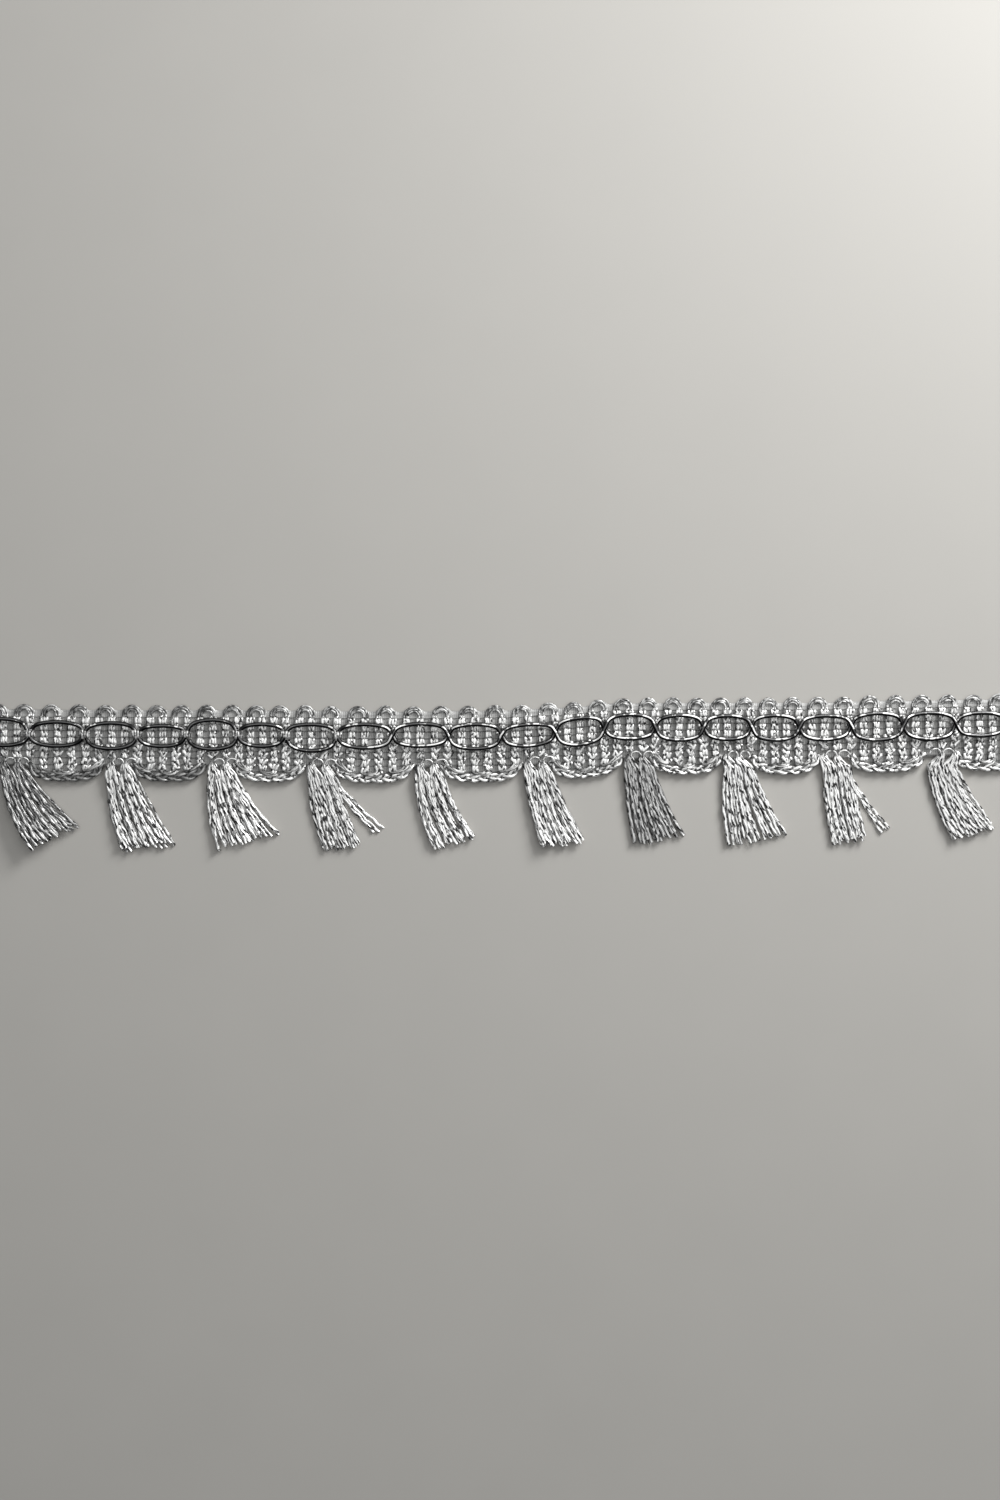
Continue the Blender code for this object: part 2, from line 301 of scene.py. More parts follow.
def yarn_tree():
    """Geometry nodes that spin a yarn along each chain of edges of a mesh."""
    tree = bpy.data.node_groups.new("spun_yarn", "GeometryNodeTree")
    inputs = (
        ("Paths", "Geometry"),
        ("Width", "Float"),
        ("Thickness", "Float"),
        ("Roll", "Float"),
        ("Roll Length", "Float"),
        ("Wobble", "Float"),
        ("Step", "Float"),
        ("Sides", "Int"),
        ("Seed", "Int"),
        ("Finish", "Material"),
    )
    for name, kind in inputs:
        tree.interface.new_socket(name, in_out="INPUT", socket_type=f"NodeSocket{kind}")
    tree.interface.new_socket("Yarn", in_out="OUTPUT", socket_type="NodeSocketGeometry")
    net = Net(tree)
    given = net.add("NodeGroupInput")
    whole = net.add("GeometryNodeMeshToCurve", {}, {"Mesh": given.other("Paths")})
    sockets = {"Curve": whole, "Length": given.other("Step")}
    curve = net.add("GeometryNodeResampleCurve", {"mode": "LENGTH"}, sockets)

    which = net.add("GeometryNodeCurveOfPoint")
    settings = {"noise_dimensions": "4D"}
    place = net.add("GeometryNodeInputPosition")
    apart = which * SWAY_APART + given.other("Seed")
    sockets = {"Vector": place, "W": apart, "Scale": SWAY_SCALE}
    noise = net.add("ShaderNodeTexNoise", settings, sockets, out="Color")
    sway = net.vectors("SUBTRACT", noise, (0.5, 0.5, 0.5))
    sway = net.vectors("MULTIPLY", sway, (2.0, 2.0, 1.0))
    sockets = {0: sway, "Scale": given.other("Wobble")}
    sway = net.add("ShaderNodeVectorMath", {"operation": "SCALE"}, sockets)
    curve = net.add("GeometryNodeSetPosition", {}, {"Geometry": curve, "Offset": sway})

    curve = net.add("GeometryNodeSetCurveNormal", {"mode": "Z_UP"}, {"Curve": curve})
    along = net.add("GeometryNodeSplineParameter", out="Length")
    sockets = {"ID": which, "Seed": given.other("Seed")}
    chance = net.add("FunctionNodeRandomValue", {"data_type": "FLOAT"}, sockets, out=1)
    turns = along / given.other("Roll Length") + chance
    tilt = net.maths("SINE", turns * (2.0 * math.pi)) * given.other("Roll")
    curve = net.add("GeometryNodeSetCurveTilt", {}, {"Curve": curve, "Tilt": tilt})
    for name, value in (("along", along), ("yarn", chance)):
        sockets = {"Geometry": curve, "Name": name, "Value": value}
        settings = {"data_type": "FLOAT", "domain": "POINT"}
        curve = net.add("GeometryNodeStoreNamedAttribute", settings, sockets)

    sockets = {"Resolution": given.other("Sides"), "Radius": 1.0}
    ring = net.add("GeometryNodeCurvePrimitiveCircle", {}, sockets)
    around = net.add("GeometryNodeInputPosition")
    sockets = {"Geometry": ring, "Name": "turn", "Value": around}
    settings = {"data_type": "FLOAT_VECTOR", "domain": "POINT"}
    ring = net.add("GeometryNodeStoreNamedAttribute", settings, sockets)
    sockets = {0: given.other("Width") / 2, 1: given.other("Thickness") / 2}
    oval = net.add("ShaderNodeCombineXYZ", {}, sockets)
    sockets = {"Geometry": ring, "Position": net.vectors("MULTIPLY", around, oval)}
    ring = net.add("GeometryNodeSetPosition", {}, sockets)

    fat = net.add("GeometryNodeInputNamedAttribute", {"data_type": "FLOAT"}, {"Name": "fat"})
    sockets = {"Curve": curve, "Profile Curve": ring, "Scale": fat, "Fill Caps": True}
    yarn = net.add("GeometryNodeCurveToMesh", {}, sockets)
    yarn = net.add("GeometryNodeSetShadeSmooth", {}, {"Geometry": yarn})
    yarn = net.add("GeometryNodeRealizeInstances", {}, {"Geometry": yarn})
    sockets = {"Geometry": yarn, "Material": given.other("Finish")}
    yarn = net.add("GeometryNodeSetMaterial", {}, sockets)
    net.add("NodeGroupOutput", {}, {"Yarn": yarn})
    return tree


YARN_TREE = yarn_tree()


Stitch = namedtuple("Stitch", "x y z fat bright", defaults=(1.0, 1.0))


def spin(name, paths, finish, width, thickness, roll=0.5, wobble=0.0, step=0.25, sides=8, seed=0):
    """A piece of yarns, one along each path of Stitch points, as a plain mesh."""
    points = [point for path in paths for point in path]
    edges = []
    start = 0
    for path in paths:
        edges += [(i, i + 1) for i in range(start, start + len(path) - 1)]
        start += len(path)
    lines = bpy.data.meshes.new(name)
    lines.from_pydata([placed(point.x, point.y, point.z) for point in points], edges, [])
    for field in ("fat", "bright"):
        layer = lines.attributes.new(field, "FLOAT", "POINT")
        layer.data.foreach_set("value", [getattr(point, field) for point in points])
    piece = bpy.data.objects.new(name, lines)
    bpy.context.scene.collection.objects.link(piece)
    modifier = piece.modifiers.new("spun", "NODES")
    modifier.node_group = YARN_TREE
    values = {
        "Width": width * MM,
        "Thickness": thickness * MM,
        "Roll": roll,
        "Roll Length": ROLL_LENGTH * MM,
        "Wobble": wobble * MM,
        "Step": step * MM,
        "Sides": sides,
        "Seed": seed,
        "Finish": finish,
    }
    for item in YARN_TREE.interface.items_tree:
        if item.in_out == "INPUT" and item.name in values:
            modifier[item.identifier] = values[item.name]
    now = bpy.context.evaluated_depsgraph_get()
    spun = bpy.data.meshes.new_from_object(piece.evaluated_get(now), depsgraph=now)
    piece.modifiers.remove(modifier)
    piece.data = spun
    bpy.data.meshes.remove(lines)
    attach(piece, "root")
    return piece


# The ground: a sheer silver gauze, woven with the ribs, that shows grey between them, inside the
# picot loops and at the notches. It is one thin sheet, cut off at both ends of the trim.

TOP_EDGE = 3.75
PICOT_RISE = 1.2
PICOT_HALF = 1.45
PICOT_PHASE = 1.5
PICOT_EVERY = 2
PICOT_FILM = 0.45
GAUZE_STEP = 0.3
GAUZE_ROWS = 18
GAUZE_Z = 0.62
GAUZE_WAVE = 0.08
GAUZE_THICKNESS = 0.12
GAUZE_INSET = 0.25
WEAVE_ACROSS = 0.31
WEAVE_ALONG = 0.24
DROP_FROM = -2.5
DROP_OVER = 5.0
EDGE_DROP = 0.35


def edge_drop(below):
    """How much lower the band lies towards its scalloped edge, where it meets the table."""
    share = min(1.0, max(0.0, (DROP_FROM - below) / DROP_OVER))
    return EDGE_DROP * share * share


def picot_bump(rib):
    """0 between picots and 1 at the middle of one, at a place counted in ribs."""
    half = PICOT_EVERY / 2
    away = abs((rib - PICOT_PHASE + half) % PICOT_EVERY - half) * RIB_PITCH
    return math.sqrt(max(0.0, 1.0 - (away / PICOT_HALF) ** 2))


def gauze_finish():
    """Fine plain weave of grey metallised threads."""
    material, net, sockets = new_finish("sheer_silver_gauze", 0.3)
    coords = net.add("ShaderNodeTexCoord", out="Object")
    place = net.add("ShaderNodeSeparateXYZ", {}, {0: coords})
    across = net.maths("SINE", place * (2.0 * math.pi / (WEAVE_ACROSS * MM)))
    along = net.maths("SINE", place.other("Y") * (2.0 * math.pi / (WEAVE_ALONG * MM)))
    weave = net.maths("MAXIMUM", across, along)
    uneven = net.add("ShaderNodeTexNoise", {}, {"Vector": coords, "Scale": 900.0, "Detail": 2.0})
    mask = net.between(weave * 0.5 + uneven * 0.8, 0.3, 1.0)
    colour = net.blend(mask, (0.11, 0.11, 0.106, 1.0), (0.46, 0.46, 0.45, 1.0))
    link(net, colour, sockets["Base Color"])
    link(net, net.between(uneven, 0.35, 0.6), sockets["Roughness"])
    bump = net.add(
        "ShaderNodeBump", {}, {"Height": weave, "Strength": 0.4, "Distance": 0.00004}
    )
    link(net, bump, sockets["Normal"])
    return material


def gauze_column(rib):
    """The gauze's points at one place, from the picots to the foot, and its height there."""
    x = rib_x(rib)
    top = lay_y(x) + TOP_EDGE + PICOT_RISE * (PICOT_FILM + (1.0 - PICOT_FILM) * picot_bump(rib))
    foot = lay_y(x) + NOTCH_EDGE - SCALLOP_DEPTH * scallop_bump(x) + GAUZE_INSET
    top -= GAUZE_INSET
    z = GAUZE_Z + GAUZE_WAVE * math.cos(2.0 * math.pi * rib)
    rows = [top + (foot - top) * row / GAUZE_ROWS for row in range(GAUZE_ROWS + 1)]
    return x, rows, z


def make_gauze():
    count = round((LAST_CUT - FIRST_CUT) * RIB_PITCH / GAUZE_STEP)
    ribs = [FIRST_CUT + (LAST_CUT - FIRST_CUT) * i / count for i in range(count + 1)]
    columns = [gauze_column(rib) for rib in ribs]
    points = [placed(x, y, z - edge_drop(y - lay_y(x))) for x, rows, z in columns for y in rows]
    faces = []
    side = GAUZE_ROWS + 1
    for i in range(count):
        for row in range(GAUZE_ROWS):
            a, b = i * side + row, (i + 1) * side + row
            faces.append((a, a + 1, b + 1, b))
    area = 0.0
    for (x, rows, _), (next_x, next_rows, _) in zip(columns, columns[1:]):
        area += (next_x - x) * (rows[0] - rows[-1] + next_rows[0] - next_rows[-1]) / 2
    mesh = bpy.data.meshes.new("gauze_ground")
    mesh.from_pydata(points, [], faces)
    mesh.shade_smooth()
    mesh.materials.append(gauze_finish())
    piece = bpy.data.objects.new("gauze_ground", mesh)
    bpy.context.scene.collection.objects.link(piece)
    solid = piece.modifiers.new("thickness", "SOLIDIFY")
    solid.thickness = GAUZE_THICKNESS * MM
    return piece, area * MM * MM


gauze, gauze_area = make_gauze()
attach(gauze, "root")
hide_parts("braid_band")


# The ribs: bundles of silver weft yarn that run up one rib, round a picot loop past the top
# edge, and down the next rib. Fine binding threads pinch them into short bright stitches.

RIB_TOP = 2.85
BIND_TOP = 2.85
BIND_PITCH = 1.13
WEFTS = (-0.37, 0.0, 0.37)
WEFT_WIDTH = 0.6
WEFT_THICKNESS = 0.22
WEFT_ROLL = 0.2
WEFT_LOW = 1.0
WEFT_PUFF = 0.28
WEFT_STEP = 0.08
WEFT_SPUN_STEP = 0.16
WEFT_SIDES = 6
WEFT_SEED = 3
STITCH_GLOW = (0.8, 1.4)
STITCH_SLIP = 0.12
STITCH_LEAN = 0.3
FAN_LEAN = 3.0
FAN_DROP = 0.3
PINCH_FAT = 0.75
PINCH_SPREAD = 0.8
PUFF_SPREAD = 0.2
PINCH_SHARP = 8
PINCH_BRIGHT = 0.0
TOP_PINCH_BRIGHT = 0.6
CROSSING_PINCH = 0.55
CROSSING_HALF = 1.7
FAN_BELOW = -1.67
FAN_WIDE = 1.4
FAN_NARROW = 0.6
PICOT_SPRING = 3.15
PICOT_HALVES = (1.49, 1.2, 0.9)
PICOT_TOPS = (4.8, 4.45, 4.1)
PICOT_UNEVEN = 0.1
FLECKS = (1.0, 1.0, 0.6, 0.15)
PICOT_FAT = 0.58
PICOT_Z = 0.75
PICOT_ARCH = 0.2
PICOT_PAINTED_SHADE = 0.6
PICOT_PAINTED_SHADE_RIGHT = 0.36
PAINTED_SHADE_UP_TO = -36.0
FOOT_REACH = (-0.25, -0.4, -0.55)
FOOT_FAT = 0.7
FOOT_ARCH = 0.1
FOOT_PAINTED_SHADE = 0.8
FOOT_UP = 1.75
ARCH_STEPS = 12
TASSEL_FOOT = -3.9

SILVER = foil_yarn(
    "silver_gimp_yarn",
    dark=(0.05, 0.05, 0.049, 1.0),
    rough=0.36,
    dash=1.7 * MM,
    twist=0.25,
    crease=3.6,
    fleck=0.6 * MM,
)


def weft_foot(x):
    """Where the ribs end below the chain: at the scallop's plait, or at a tassel."""
    bump = scallop_bump(x)
    return min(TASSEL_FOOT, NOTCH_EDGE - SCALLOP_DEPTH * bump + FOOT_UP)


def rib_run(rib, aside, rng):
    """One weft yarn up a rib, from its foot to the spring of the picot."""
    x = rib_x(rib)
    middle = lay_y(x)
    foot = weft_foot(x)
    crossing = rib % RIBS_PER_LINK == 0
    rows = math.ceil((BIND_TOP - foot) / BIND_PITCH) + 1
    glow = [rng.uniform(*STITCH_GLOW) for row in range(rows)]
    slip = [rng.uniform(-STITCH_SLIP, STITCH_SLIP) for row in range(rows)]
    lean = [rng.uniform(-STITCH_LEAN, STITCH_LEAN) for row in range(rows)]
    drop = rng.uniform(-FAN_DROP, FAN_DROP)
    count = round((RIB_TOP - foot) / WEFT_STEP)
    points = []
    for step in range(count + 1):
        y = foot + (RIB_TOP - foot) * step / count
        lower = drop if y < FAN_BELOW else 0.0
        row, cell = divmod((BIND_TOP - y - lower) / BIND_PITCH, 1.0)
        puff = 1.0 - (2.0 * cell - 1.0) ** PINCH_SHARP
        z = WEFT_LOW + WEFT_PUFF * puff
        if crossing and abs(y) < CROSSING_HALF:
            z -= CROSSING_PINCH * math.cos(y / CROSSING_HALF * math.pi / 2)
        fat = PINCH_FAT + (1.0 - PINCH_FAT) * puff
        # Painted shade: each yarn is darkest in the pinch under a binding thread, less so in the top
        # row; glow varies it at random per stitch.
        pinch_light = PINCH_BRIGHT if row else TOP_PINCH_BRIGHT
        bright = (pinch_light + (1.0 - pinch_light) * puff) * min(1.0, glow[int(row)])
        spread = PINCH_SPREAD + PUFF_SPREAD * puff
        slant = lean[int(row)] * (cell - 0.5)
        if y < FAN_BELOW:
            spread = FAN_WIDE + (FAN_NARROW - FAN_WIDE) * cell
            slant *= FAN_LEAN
        at = x + aside * spread + slip[int(row)] * puff + slant
        points.append(Stitch(at, middle + y, z - edge_drop(y), fat, bright))
    return points


def loop(start, end, reach, low, rise, fat=1.0, painted_shade=0.0):
    """A half loop from start to end, (x, y) each, that reaches past them by reach.

    dull is how much painted shade darkens its start, less and less towards its end.
    """
    points = []
    for step in range(ARCH_STEPS + 1):
        angle = math.pi * step / ARCH_STEPS
        share = (1.0 - math.cos(angle)) / 2
        x = start[0] + (end[0] - start[0]) * share
        y = start[1] + (end[1] - start[1]) * share + reach * math.sin(angle)
        bright = 1.0 - painted_shade * (1.0 - share ** 2)
        points.append(Stitch(x, y, low + rise * math.sin(angle), fat, bright))
    return points


def picot(rib, strand, rng):
    """One yarn's loop over the top edge, from a rib to the next, creased into short flecks."""
    centre = (rib_x(rib) + rib_x(rib + 1)) / 2
    half = PICOT_HALVES[strand] + rng.uniform(-PICOT_UNEVEN, PICOT_UNEVEN)
    spring = lay_y(centre) + PICOT_SPRING
    reach = PICOT_TOPS[strand] - PICOT_SPRING + rng.uniform(-PICOT_UNEVEN, PICOT_UNEVEN)
    start, end = (centre - half, spring), (centre + half, spring)
    # Painted shade on each picot's left side, away from the lamps, stronger on the picots at the left
    # end.
    painted_shade = PICOT_PAINTED_SHADE if centre < PAINTED_SHADE_UP_TO else PICOT_PAINTED_SHADE_RIGHT
    arc = loop(start, end, reach, PICOT_Z, PICOT_ARCH, PICOT_FAT, painted_shade)
    return [point._replace(bright=point.bright * rng.choice(FLECKS)) for point in arc]


def weft_paths(first, last, rng):
    """The weft yarns of every pair of ribs from first to last, three to a rib."""
    paths = []
    left_cut, right_cut = rib_x(FIRST_CUT), rib_x(LAST_CUT)
    for rib in range(first, last, 2):
        for strand, aside in enumerate(WEFTS):
            up = rib_run(rib, aside, rng)
            down = rib_run(rib + 1, -aside, rng)
            path = up + picot(rib, strand, rng) + down[::-1]
            if scallop_bump(rib_x(rib + 1)) and scallop_bump(rib_x(rib + 2)):
                onward = rib_run(rib + 2, aside, rng)[0]
                # The foot loop carries painted shade at its start.
                reach, low = FOOT_REACH[strand], down[0].z
                path += loop(down[0][:2], onward[:2], reach, low, FOOT_ARCH, FOOT_FAT, FOOT_PAINTED_SHADE)
            paths.append([point for point in path if left_cut <= point.x <= right_cut])
    return paths


FIRST_PAIR = math.ceil(FIRST_CUT) - 1
MIDDLE_PAIR = 45
LAST_PAIR = math.ceil(LAST_CUT)
rng = random.Random(WEFT_SEED)
for name, first, last in (
    ("weft_ribs_left", FIRST_PAIR, MIDDLE_PAIR),
    ("weft_ribs_right", MIDDLE_PAIR, LAST_PAIR),
):
    wefts = spin(
        name, weft_paths(first, last, rng), SILVER, WEFT_WIDTH, WEFT_THICKNESS, WEFT_ROLL,
        wobble=0.1, step=WEFT_SPUN_STEP, sides=WEFT_SIDES,
    )
    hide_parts("braid_band")


# The binding: fine grey threads that run along the whole band and hold every rib down. Past the
# chain's lower side they stay within the scallops.

BIND_ROWS = 9
BIND_WIDTH = 0.13
BIND_OVER = 1.14
BIND_UNDER = 0.62
BIND_SHOULDER = 1.7
BIND_MARGIN = 1.2
BIND_POINTS = 6
THREAD_TWIST = 0.2


def thread_finish():
    """Fine grey twisted thread, with painted shade where it crosses a rib in a pinch."""
    material, net, sockets = new_finish("grey_binding_thread", 0.3)
    turn = net.attribute("turn", "Vector")
    grain = net.add("ShaderNodeTexNoise", {}, {"Vector": turn, "Scale": 3.0})
    along = net.maths("SINE", net.attribute("along") * (2.0 * math.pi / (THREAD_TWIST * MM)))
    mask = net.between(along * 0.4 + grain, 0.3, 1.0) * net.attribute("bright")
    colour = net.blend(mask, (0.05, 0.05, 0.05, 1.0), (0.36, 0.36, 0.35, 1.0))
    link(net, colour, sockets["Base Color"])
    link(net, net.between(grain, 0.35, 0.55), sockets["Roughness"])
    return material


def binding_paths():
    """Each thread dips between two ribs, and breaks off where the band is notched."""
    paths = []
    steps = round((LAST_CUT - FIRST_CUT) * BIND_POINTS)
    for row in range(BIND_ROWS):
        below = BIND_TOP - BIND_PITCH * row
        run = []
        for step in range(steps + 1):
            rib = FIRST_CUT + (LAST_CUT - FIRST_CUT) * step / steps
            x = rib_x(rib)
            foot = NOTCH_EDGE - SCALLOP_DEPTH * scallop_bump(x)
            if below > foot + BIND_MARGIN and (below > TASSEL_FOOT or scallop_bump(x) > 0.0):
                swell = min(1.0, BIND_SHOULDER * (0.5 + 0.5 * math.cos(2.0 * math.pi * rib)))
                z = BIND_UNDER + (BIND_OVER - BIND_UNDER) * swell - edge_drop(below)
                # Painted shade: the thread is darker where it crosses over a rib in the pinch.
                run.append(Stitch(x, lay_y(x) + below, z, 1.0, 1.0 - swell))
                continue
            if len(run) > 1:
                paths.append(run)
            run = []
        if len(run) > 1:
            paths.append(run)
    return paths


binding = spin(
    "binding_threads", binding_paths(), thread_finish(), BIND_WIDTH, BIND_WIDTH,
    wobble=0.05, step=0.3, sides=5,
)


# The scallops: three silver yarns plaited along the foot of each scallop, from under one
# tassel's root to the notch beside the next, where the plait climbs back to the band.

PLAIT_YARNS = 3
PLAIT_PITCH = 6.2
PLAIT_SWING = 0.5
PLAIT_RISE = 0.17
PLAIT_INSET = 0.7
PLAIT_Z = 0.88
PLAIT_YARN = 0.56
PLAIT_THICKNESS = 0.28
PLAIT_STEPS = 100
PLAIT_PAINTED_LIT = 0.9
PLAIT_DIVE_SHADE = 0.6
PLAIT_PAINTED_SHADE = 0.3
SHADED_SCALLOPS = 3
PLAIT_START = Vector((-0.5, -4.6, 0.75))
PLAIT_END = Vector((0.3, -4.5, 0.75))


def plait_line(start, end):
    """Middle of the plait along one scallop, as points of (x, y, z)."""
    points = [Vector((start, lay_y(start), 0.0)) + PLAIT_START]
    for step in range(1, PLAIT_STEPS):
        across = -math.cos(math.pi * step / PLAIT_STEPS)
        x = (start + end + across * (end - start)) / 2
        bump = math.sqrt(1.0 - abs(across) ** SCALLOP_SQUARE)
        y = lay_y(x) + NOTCH_EDGE - SCALLOP_DEPTH * bump + PLAIT_INSET
        points.append(Vector((x, y, PLAIT_Z)))
    points.append(Vector((end, lay_y(end), 0.0)) + PLAIT_END)
    left, right = rib_x(FIRST_CUT), rib_x(LAST_CUT)
    return [point for point in points if left <= point.x <= right]


def plait_paths():
    """Each yarn swings from side to side, with painted shade where it dives under the others and on
    the first scallops at the left.
    """
    paths = []
    for index, (start, end) in enumerate(scallops()):
        line = plait_line(start, end)
        # Painted shade on the scallops at the left end, away from the lamps.
        bright = PLAIT_PAINTED_SHADE if index < SHADED_SCALLOPS else 1.0
        for yarn in range(PLAIT_YARNS):
            run = PLAIT_PITCH * yarn / PLAIT_YARNS
            path = []
            for i, point in enumerate(line):
                before, after = line[max(i - 1, 0)], line[min(i + 1, len(line) - 1)]
                run += (point - before).length
                ahead = (after - before).normalized()
                side = Vector((-ahead.y, ahead.x, 0.0))
                turn = 2.0 * math.pi * run / PLAIT_PITCH
                over = math.sin(2.0 * turn)
                at = point + side * PLAIT_SWING * math.sin(turn)
                z = at.z + PLAIT_RISE * over
                # Painted shade where the yarn dives under the others.
                painted_lit = max(0.0, min(1.0, PLAIT_PAINTED_LIT + PLAIT_DIVE_SHADE * over))
                path.append(Stitch(at.x, at.y, z, 1.0, bright * painted_lit))
            paths.append(path)
    return paths


plait = spin("scallop_plait", plait_paths(), SILVER, PLAIT_YARN, PLAIT_THICKNESS, wobble=0.05)
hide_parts("braid_band")


# Small stitches of silver yarn: arches where the tassels' yarns turn round the ribs' ends, and
# short stitches that hold the cords down at each crossing.

STITCH_WIDTH = 0.42
STITCH_THICKNESS = 0.16
ARCH_FOOT = -4.75
ARCH_REACH = 0.75
ARCH_SIDE = 0.2
ARCH_Z = 1.4
ARCH_RISE = 0.1
ARCH_FAT = 0.6
ARCH_NEAR_ROOT = 2.4
STITCH_FOOT_Z = 1.3
STITCH_STEPS = 12
STITCH_SEED = 5
OPEN_CROSSINGS = 9
HOLD_SLANT = 0.15
HOLD_LENGTHS = (0.8, 1.15)
HOLD_GLOW = (0.7, 1.0)
HOLD_SQUARE = 6

Hold = namedtuple("Hold", "aside middle half top bright")
COVERED = (
    Hold(-0.62, 0.1, 0.75, 2.9, 0.9),
    Hold(-0.2, 0.0, 0.85, 3.0, 1.5),
    Hold(0.22, 0.0, 0.75, 3.0, 1.5),
    Hold(0.66, -0.1, 0.75, 2.9, 0.9),
)
OPEN = (
    Hold(-0.75, 0.2, 0.4, 1.9, 0.8),
    Hold(0.7, -0.1, 0.4, 1.9, 0.8),
    Hold(0.1, 1.1, 0.3, 1.9, 0.8),
)


def arch_paths():
    """One arch over each gap between two ribs near a tassel."""
    paths = []
    for rib in range(math.ceil(FIRST_CUT), math.floor(LAST_CUT)):
        left, right = rib_x(rib) + ARCH_SIDE, rib_x(rib + 1) - ARCH_SIDE
        middle = (left + right) / 2
        if min(abs(middle - tassel.root_x) for tassel in TASSELS) < ARCH_NEAR_ROOT:
            foot = lay_y(middle) + ARCH_FOOT
            start, end = (left, foot), (right, foot)
            paths.append(loop(start, end, ARCH_REACH, ARCH_Z, ARCH_RISE, ARCH_FAT))
    return paths


def crossing_paths(rng):
    """Stitches over the left-hand crossings, and beside the others, which lie open."""
    paths = []
    for index in range(1, len(LINKS) - 1):
        centre = link_x(index)
        for hold in COVERED if index < OPEN_CROSSINGS else OPEN:
            slant = rng.uniform(-HOLD_SLANT, HOLD_SLANT)
            half = hold.half * rng.uniform(*HOLD_LENGTHS)
            bright = min(1.0, hold.bright * rng.uniform(*HOLD_GLOW))
            path = []
            for step in range(STITCH_STEPS + 1):
                share = 2.0 * step / STITCH_STEPS - 1.0
                x = centre + hold.aside + slant * share
                y = lay_y(centre) + hold.middle + half * share
                z = STITCH_FOOT_Z + (hold.top - STITCH_FOOT_Z) * (1.0 - share ** HOLD_SQUARE)
                path.append(Stitch(x, y, z, 1.0, bright * rng.choice(FLECKS)))
            paths.append(path)
    return paths


stitches = spin(
    "small_stitches", arch_paths() + crossing_paths(random.Random(STITCH_SEED)), SILVER,
    STITCH_WIDTH, STITCH_THICKNESS, roll=0.15, wobble=0.05, step=0.15, sides=6,
)


# The chain: two bright dark-silver cords that wave along the ribs and cross at every junction,
# where cord b lies over cord a. A white highlight is painted along their upper side, fainter at the
# left as painted light falloff, with painted shade at their edges.

CORD_WIDTH = 0.7
CORD_Z = 2.1
CROSSING_LIFT = 0.45
CROSSING_TURN = 0.4
LINK_ARCH = 0.38
CORD_SETBACK = 0.04
CORD_STEPS = 36
# The values below set the painted highlight along the crown, its painted fading towards the left,
# painted glints near the junctions and painted shade where cord a passes under cord b.
LEFT_FALLOFF = -0.2
SHADED_HALF = 0.8
GLINT_NEAR = 0.7
GLINT_FAR = 2.2
GLINT = 1.4
CROWN_SIDE = 0.3
PATCH_SCALE = 700.0
FALLOFF_FROM = -50.0
FALLOFF_FULL = -15.0
BRIGHT_SHARE = 0.2
STREAKS_FROM = 0.7
STREAKS_FULL = 0.76
HIGHLIGHT_FROM = 0.58
HIGHLIGHT_FULL = 0.74
TOP_LIGHT_FROM = 0.4
TOP_LIGHT_FULL = 0.8


def bright_cord():
    """Dark silver cord with a painted white highlight along its crown's upper side in long broken
    streaks, and painted shade at its edges.
    """
    material, net, sockets = new_finish("bright_dark_silver", 1.0)
    turn = net.add("ShaderNodeSeparateXYZ", {}, {0: net.attribute("turn", "Vector")})
    coords = net.add("ShaderNodeTexCoord", out="Object")
    grain = {"Vector": coords, "Scale": PATCH_SCALE, "Detail": 2.0}
    patch = net.add("ShaderNodeTexNoise", {}, grain)
    # The painted highlight sits on the cord's upper side, where the lamps light it.
    crown = 1.0 - net.maths("ABSOLUTE", turn + CROWN_SIDE)
    place = net.add("ShaderNodeSeparateXYZ", {}, {0: coords})
    # Painted light falloff: the painted highlight fades towards the left, away from the lamps.
    painted_falloff = net.between(place, LEFT_FALLOFF, 0.0, start=FALLOFF_FROM * MM, stop=FALLOFF_FULL * MM)
    painted_lit = patch + painted_falloff + net.attribute("bright") * BRIGHT_SHARE
    streaks = net.between(painted_lit, 0.0, 1.0, start=STREAKS_FROM, stop=STREAKS_FULL)
    # Painted highlight: white foil colour along the crown in broken streaks.
    painted_highlight = net.between(crown, 0.0, 1.0, start=HIGHLIGHT_FROM, stop=HIGHLIGHT_FULL) * streaks
    # Painted shade: the body is darkest at its edges and lighter up the crown.
    painted_top_light = net.between(crown, 0.0, 1.0, start=TOP_LIGHT_FROM, stop=TOP_LIGHT_FULL)
    painted_shade = net.blend(painted_top_light, (0.016, 0.016, 0.017, 1.0), (0.12, 0.12, 0.12, 1.0))
    link(net, net.blend(painted_highlight, painted_shade, FOIL_LIGHT), sockets["Base Color"])
    link(net, net.between(painted_highlight, 1.0, 0.3), sockets["Metallic"])
    link(net, net.between(painted_highlight, 0.35, 0.45), sockets["Roughness"])
    return material


